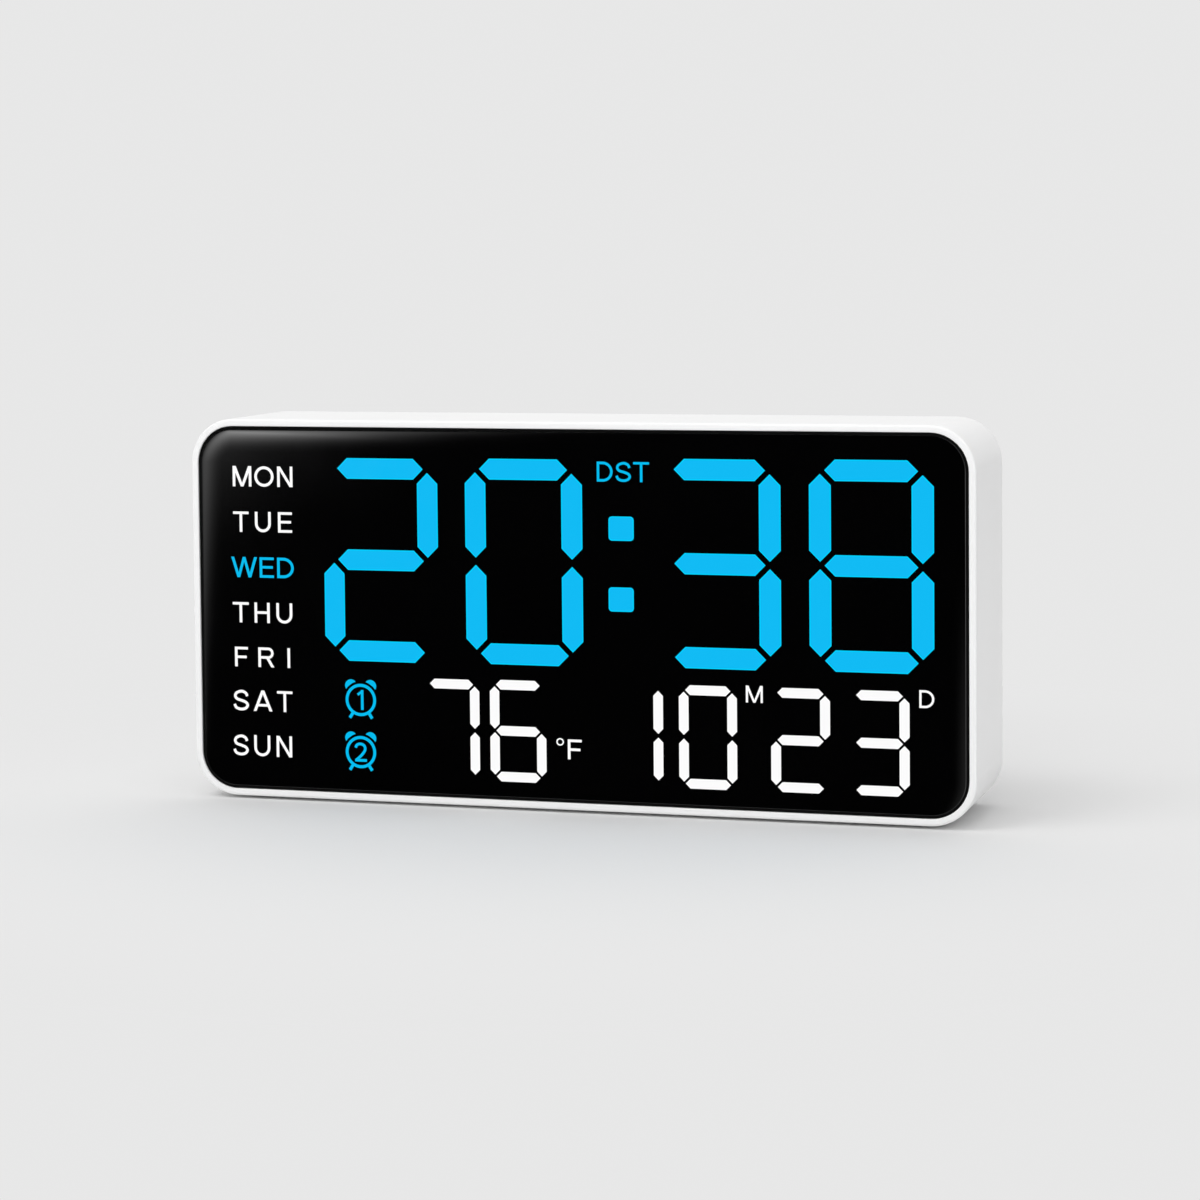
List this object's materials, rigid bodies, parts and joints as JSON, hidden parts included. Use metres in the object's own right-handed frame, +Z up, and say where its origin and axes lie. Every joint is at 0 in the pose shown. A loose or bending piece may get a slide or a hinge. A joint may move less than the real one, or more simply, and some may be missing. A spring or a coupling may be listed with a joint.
{
  "type": "day clock",
  "caption": "Free-standing LED day clock: thin white case, black lens with time, weekday, date and temperature, push buttons and a fold-out stand on the back.",
  "frame": {"origin": "on the surface that the feet stand on, under the middle of the case", "axes": "+X to the right as the display is read, +Y from the display to the back, +Z up"},
  "size_m": [0.216, 0.04, 0.1038],
  "materials": {
    "case_white": "satin moulded, polished rim",
    "cover_white": "fine moulded texture",
    "stand_white": "fine moulded texture",
    "lens_black": "polished smoked acrylic",
    "tape_black": "foam tape",
    "film_grey": "frosted film",
    "reflector_white": "moulded",
    "board_green": "solder mask",
    "blue_light": "lit blue",
    "white_light": "lit white",
    "chip_black": "moulded",
    "plunger_black": "moulded",
    "screw_steel": "zinc plated",
    "can_metal": "drawn",
    "socket_steel": "nickel plated",
    "cell_steel": "brushed",
    "contact_brass": "spring strip",
    "button_grey": "moulded",
    "foot_rubber": "matte"
  },
  "bodies": {
    "clock": {"front_case": "case_white", "rubber_feet": "foot_rubber", "front_lens": "lens_black", "lens_tape": "tape_black", "diffuser_film": "film_grey", "segment_reflector": "reflector_white", "display_board": "board_green", "time_leds": "blue_light", "calendar_leds": "white_light", "legend_leds": "white_light", "driver_chips": "chip_black", "display_board_screws": "screw_steel", "link_socket": "chip_black", "link_header": "chip_black", "main_board": "board_green", "microcontroller": "chip_black", "crystal": "can_metal", "capacitors": "can_metal", "buzzer": "chip_black", "temperature_sensor": "chip_black", "tact_switches": "chip_black", "main_board_screws": "screw_steel", "power_socket_shell": "socket_steel", "power_socket_tongue": "chip_black", "cell_holder": "chip_black", "cell_contact": "contact_brass", "coin_cell": "cell_steel", "cell_clip": "contact_brass", "rear_cover": "cover_white", "cover_screws": "screw_steel", "stand_pin": "screw_steel"},
    "stand": {"stand_leg": "stand_white", "stand_tip": "foot_rubber"},
    "battery_lid": {"battery_door": "cover_white", "battery_door_screw": "screw_steel"},
    "mode_key": {"mode_button": "button_grey", "mode_plunger": "plunger_black"},
    "up_key": {"up_button": "button_grey", "up_plunger": "plunger_black"},
    "down_key": {"down_button": "button_grey", "down_plunger": "plunger_black"},
    "alarm_key": {"alarm_button": "button_grey", "alarm_plunger": "plunger_black"},
    "dimmer_key": {"dimmer_button": "button_grey", "dimmer_plunger": "plunger_black"},
    "dst_key": {"dst_button": "button_grey", "dst_plunger": "plunger_black"}
  },
  "joints": [
    {"name": "stand_fold", "type": "hinge", "parent": "clock", "child": "stand", "pos_m": [0, 0.0166, 0.066], "axis": [1, 0, 0], "range_deg": [0, 30]},
    {"name": "battery_lid_lift", "type": "slide", "parent": "clock", "child": "battery_lid", "axis": [0, 1, 0], "range_m": [0, 0.012]},
    {"name": "mode_press", "type": "slide", "parent": "clock", "child": "mode_key", "axis": [0, -1, 0], "range_m": [0, 0.0005], "stiffness_N_per_m": 1500},
    {"name": "up_press", "type": "slide", "parent": "clock", "child": "up_key", "axis": [0, -1, 0], "range_m": [0, 0.0005], "stiffness_N_per_m": 1500},
    {"name": "down_press", "type": "slide", "parent": "clock", "child": "down_key", "axis": [0, -1, 0], "range_m": [0, 0.0005], "stiffness_N_per_m": 1500},
    {"name": "alarm_press", "type": "slide", "parent": "clock", "child": "alarm_key", "axis": [0, -1, 0], "range_m": [0, 0.0005], "stiffness_N_per_m": 1500},
    {"name": "dimmer_press", "type": "slide", "parent": "clock", "child": "dimmer_key", "axis": [0, -1, 0], "range_m": [0, 0.0005], "stiffness_N_per_m": 1500},
    {"name": "dst_press", "type": "slide", "parent": "clock", "child": "dst_key", "axis": [0, -1, 0], "range_m": [0, 0.0005], "stiffness_N_per_m": 1500}
  ]
}
